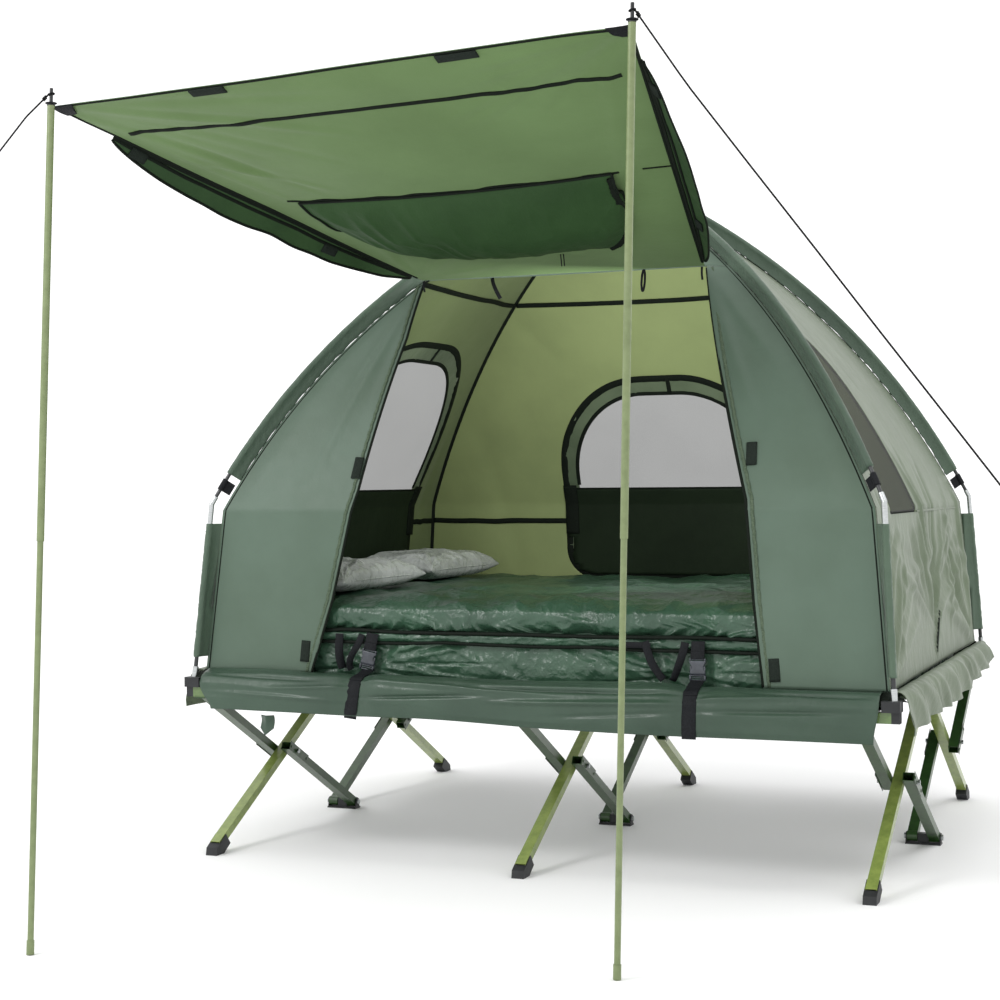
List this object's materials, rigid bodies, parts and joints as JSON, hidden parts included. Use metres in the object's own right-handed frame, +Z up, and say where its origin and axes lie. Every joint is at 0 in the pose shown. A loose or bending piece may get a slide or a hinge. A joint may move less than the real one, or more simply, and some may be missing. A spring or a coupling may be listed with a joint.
{
  "type": "tent cot",
  "caption": "Folding double cot on crossed scissor legs with a clip-on dome tent, propped awning, mattress, sleeping bag and pillows.",
  "frame": {"origin": "on the floor under the middle leg station's centre foot, at the cot's centre", "axes": "+X along the cot towards the foot end, -Y towards the door and awning side, +Z up"},
  "size_m": [2.2914, 2.6822, 1.9591],
  "materials": {
    "black_plastic": "moulded, slightly worn",
    "bright_steel": "plated, bright",
    "olive_tube": "gloss powder coat",
    "dark_pole": "dark coated rod",
    "awning_pole": "olive powder coat",
    "shell_fabric": "coated polyester, grey-green",
    "light_fabric": "coated polyester, light olive",
    "coated_fabric": "thick coated cloth, soft shine",
    "mesh": "fine insect mesh",
    "dark_fabric": "dark green mesh and cloth",
    "webbing": "woven webbing and cord",
    "satin": "shiny quilted polyester",
    "pillow_satin": "silver-grey satin"
  },
  "bodies": {
    "base": {"centre_foot_pads": "black_plastic", "centre_brackets": "black_plastic", "centre_axles": "bright_steel"},
    "front_inner": {"front_inner_legs": "olive_tube", "front_gussets": "olive_tube", "front_pivot_bolts": "bright_steel", "front_rail": "olive_tube", "front_rail_caps": "black_plastic"},
    "front_outer": {"front_outer_legs": "olive_tube", "front_foot_shoes": "black_plastic", "middle_rail": "olive_tube", "middle_rail_caps": "black_plastic"},
    "rear_inner": {"rear_inner_legs": "olive_tube", "rear_gussets": "olive_tube", "rear_pivot_bolts": "bright_steel", "rear_rail": "olive_tube", "rear_rail_caps": "black_plastic"},
    "rear_outer": {"rear_outer_legs": "olive_tube", "rear_foot_shoes": "black_plastic"},
    "canvas": {"canvas_deck": "coated_fabric"},
    "tent": {"end_bars": "olive_tube", "corner_blocks": "black_plastic", "pole_sockets": "bright_steel", "corner_posts": "dark_pole", "elbow_tubes": "bright_steel", "dome_hoops": "dark_pole", "apex_hub": "black_plastic", "pole_sleeves": "shell_fabric", "web_tabs": "webbing", "front_left_panel": "shell_fabric", "front_right_panel": "shell_fabric", "front_roof_panel": "shell_fabric", "left_wall": "shell_fabric", "right_wall": "light_fabric", "back_wall": "shell_fabric", "window_meshes": "mesh", "window_flaps": "dark_fabric", "tent_floor": "coated_fabric", "front_skirt": "coated_fabric", "rear_skirt": "coated_fabric", "end_skirts": "light_fabric", "mattress": "satin", "sleeping_bag_base": "satin", "sleeping_bag_quilt": "satin", "pillows": "pillow_satin", "lower_straps": "webbing", "buckle_clips": "black_plastic"},
    "left_buckle": {"left_buckle_socket": "black_plastic"},
    "right_buckle": {"right_buckle_socket": "black_plastic"},
    "awning": {"awning_panel": "light_fabric", "rolled_door": "dark_fabric"},
    "awning_poles": {"upper_pole_tubes": "awning_pole", "pole_tips": "black_plastic", "corner_tabs": "webbing", "guy_ropes": "webbing", "guy_hooks": "bright_steel"},
    "left_lower": {"left_lower_tube": "awning_pole", "left_pole_foot": "awning_pole"},
    "right_lower": {"right_lower_tube": "awning_pole", "right_pole_foot": "awning_pole"}
  },
  "joints": [
    {"name": "tent_lift", "type": "slide", "parent": "base", "child": "tent", "axis": [0, 0, 1], "range_m": [0, 0.65]},
    {"name": "front_inner_fold", "type": "hinge", "parent": "base", "child": "front_inner", "pos_m": [0, 0, 0.02], "axis": [-1, 0, 0], "range_deg": [0, 45]},
    {"name": "front_outer_fold", "type": "hinge", "parent": "front_inner", "child": "front_outer", "pos_m": [0, -0.3915, 0.23], "axis": [1, 0, 0], "range_deg": [0, 90]},
    {"name": "rear_inner_fold", "type": "hinge", "parent": "base", "child": "rear_inner", "pos_m": [0, 0, 0.02], "axis": [1, 0, 0], "range_deg": [0, 45]},
    {"name": "rear_outer_fold", "type": "hinge", "parent": "rear_inner", "child": "rear_outer", "pos_m": [0, 0.3915, 0.23], "axis": [-1, 0, 0], "range_deg": [0, 90]},
    {"name": "canvas_rise", "type": "slide", "parent": "base", "child": "canvas", "axis": [0, 0, 1], "range_m": [0, 0.44], "deforming": ["canvas_deck"]},
    {"name": "awning_lower", "type": "hinge", "parent": "tent", "child": "awning", "pos_m": [0, -0.361, 1.57], "axis": [1, 0, 0], "range_deg": [0, 50]},
    {"name": "poles_away", "type": "slide", "parent": "tent", "child": "awning_poles", "axis": [0, -1, 0], "range_m": [0, 0.45]},
    {"name": "left_pole_telescope", "type": "slide", "parent": "awning_poles", "child": "left_lower", "axis": [-0.0312, 0.1011, 0.9944], "range_m": [0, 0.85]},
    {"name": "right_pole_telescope", "type": "slide", "parent": "awning_poles", "child": "right_lower", "axis": [0.0171, 0.0223, 0.9996], "range_m": [0, 0.85]},
    {"name": "left_buckle_release", "type": "slide", "parent": "tent", "child": "left_buckle", "axis": [0, 0, 1], "range_m": [0, 0.03]},
    {"name": "right_buckle_release", "type": "slide", "parent": "tent", "child": "right_buckle", "axis": [0, 0, 1], "range_m": [0, 0.03]}
  ],
  "couplings": [
    {"joint": "front_inner_fold", "follows": "tent_lift", "rad_per_m": 1.2},
    {"joint": "front_outer_fold", "follows": "tent_lift", "rad_per_m": 2.4},
    {"joint": "rear_inner_fold", "follows": "tent_lift", "rad_per_m": 1.2},
    {"joint": "rear_outer_fold", "follows": "tent_lift", "rad_per_m": 2.4},
    {"joint": "canvas_rise", "follows": "tent_lift", "ratio": 0.66},
    {"joint": "poles_away", "follows": "awning_lower", "m_per_rad": 0.5}
  ]
}
